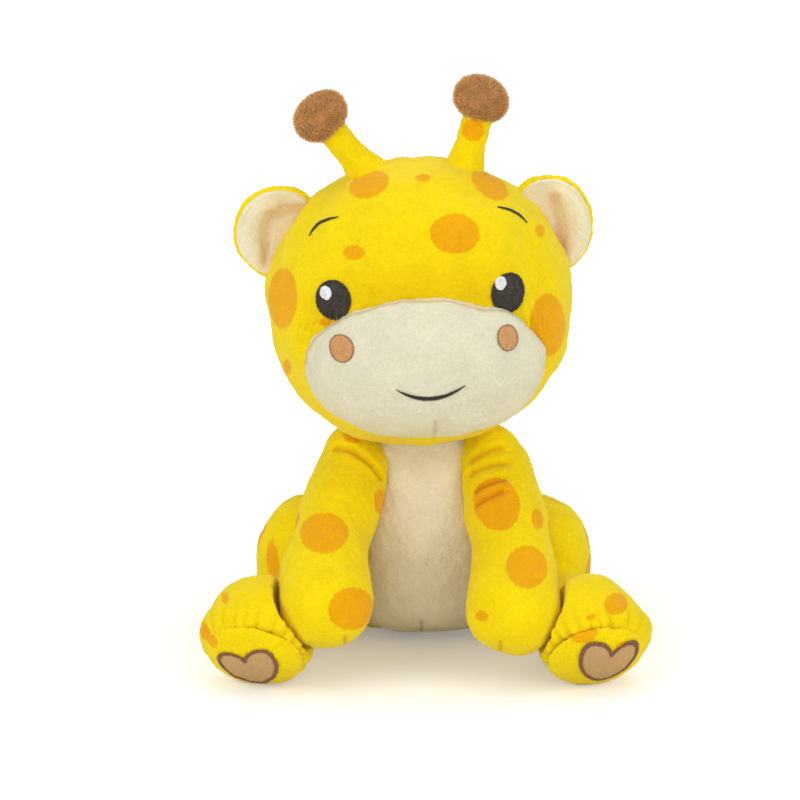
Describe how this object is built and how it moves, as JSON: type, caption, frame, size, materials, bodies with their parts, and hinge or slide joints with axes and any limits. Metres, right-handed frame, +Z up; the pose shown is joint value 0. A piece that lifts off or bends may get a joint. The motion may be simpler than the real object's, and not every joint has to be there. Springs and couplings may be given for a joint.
{
  "type": "sitting plush giraffe",
  "caption": "Sitting soft toy giraffe of yellow spotted plush with a cream muzzle and belly, cupped ears, horns and heart patches on its soles; head, limbs, ears, horns and tail flex at seams.",
  "frame": {"origin": "on the floor, at the middle of the seat's flat underside", "axes": "+Z up, the toy faces -Y, its own left side is +X"},
  "size_m": [0.2208, 0.1957, 0.2964],
  "materials": {
    "yellow_plush": "short-pile polyester plush, yellow with printed orange spots",
    "cream_plush": "short-pile polyester plush, cream",
    "brown_plush": "longer-pile polyester plush, brown",
    "tan_felt": "tan fabric patch with a satin-stitched edge",
    "dark_thread": "dark brown satin-stitch embroidery",
    "white_thread": "white satin-stitch embroidery",
    "bag_cloth": "plain woven inner bag filled with plastic pellets"
  },
  "bodies": {
    "torso": {"torso": "yellow_plush", "belly_panel": "cream_plush", "pellet_bag": "bag_cloth"},
    "head": {"head": "yellow_plush", "muzzle": "cream_plush", "left_eye": "dark_thread", "right_eye": "dark_thread", "left_eye_glint": "white_thread", "right_eye_glint": "white_thread", "left_brow": "dark_thread", "right_brow": "dark_thread", "left_nostril": "tan_felt", "right_nostril": "tan_felt", "mouth": "dark_thread"},
    "left_ear": {"left_ear": "yellow_plush", "left_ear_lining": "cream_plush"},
    "right_ear": {"right_ear": "yellow_plush", "right_ear_lining": "cream_plush"},
    "left_ossicone": {"left_ossicone": "yellow_plush", "left_ossicone_tip": "brown_plush"},
    "right_ossicone": {"right_ossicone": "yellow_plush", "right_ossicone_tip": "brown_plush"},
    "left_arm": {"left_arm": "yellow_plush"},
    "right_arm": {"right_arm": "yellow_plush"},
    "left_leg": {"left_leg": "yellow_plush", "left_foot": "yellow_plush", "left_sole": "yellow_plush", "left_heart": "tan_felt"},
    "right_leg": {"right_leg": "yellow_plush", "right_foot": "yellow_plush", "right_sole": "yellow_plush", "right_heart": "tan_felt"},
    "tail": {"tail": "yellow_plush", "tail_tuft": "brown_plush"}
  },
  "joints": [
    {"name": "neck_nod", "type": "hinge", "parent": "torso", "child": "head", "pos_m": [0, 0.004, 0.114], "axis": [-1, 0, 0], "range_deg": [-10, 10], "stiffness_Nm_per_rad": 4, "springref_deg": 1.26},
    {"name": "left_shoulder", "type": "hinge", "parent": "torso", "child": "left_arm", "pos_m": [0.036, -0.015, 0.089], "axis": [-1, 0, 0], "range_deg": [0, 40], "stiffness_Nm_per_rad": 0.05},
    {"name": "right_shoulder", "type": "hinge", "parent": "torso", "child": "right_arm", "pos_m": [-0.036, -0.015, 0.089], "axis": [-1, 0, 0], "range_deg": [0, 40], "stiffness_Nm_per_rad": 0.05},
    {"name": "left_hip", "type": "hinge", "parent": "torso", "child": "left_leg", "pos_m": [0.038, 0, 0.036], "axis": [-1, 0, 0], "range_deg": [-30, 0], "stiffness_Nm_per_rad": 0.5, "springref_deg": 4.01},
    {"name": "right_hip", "type": "hinge", "parent": "torso", "child": "right_leg", "pos_m": [-0.038, 0, 0.036], "axis": [-1, 0, 0], "range_deg": [-30, 0], "stiffness_Nm_per_rad": 0.5, "springref_deg": 4.01},
    {"name": "left_ear_flop", "type": "hinge", "parent": "head", "child": "left_ear", "pos_m": [0.06039, -0.00357, 0.21824], "axis": [-0.5366, -0.0258, 0.8434], "range_deg": [-18, 18], "stiffness_Nm_per_rad": 0.02},
    {"name": "right_ear_flop", "type": "hinge", "parent": "head", "child": "right_ear", "pos_m": [-0.06981, -0.0104, 0.21141], "axis": [0.4455, 0.0258, 0.8949], "range_deg": [-18, 18], "stiffness_Nm_per_rad": 0.02},
    {"name": "left_ossicone_bend", "type": "hinge", "parent": "head", "child": "left_ossicone", "pos_m": [0.02067, -0.00957, 0.24975], "axis": [-0.0523, 0.9986, -0.0027], "range_deg": [-18, 18], "stiffness_Nm_per_rad": 0.05},
    {"name": "right_ossicone_bend", "type": "hinge", "parent": "head", "child": "right_ossicone", "pos_m": [-0.03122, -0.01229, 0.24769], "axis": [-0.0523, 0.9986, -0.0027], "range_deg": [-18, 18], "stiffness_Nm_per_rad": 0.05},
    {"name": "tail_wag", "type": "hinge", "parent": "torso", "child": "tail", "pos_m": [0, 0.043, 0.03], "axis": [0, 0, 1], "range_deg": [-25, 25], "stiffness_Nm_per_rad": 0.01}
  ]
}
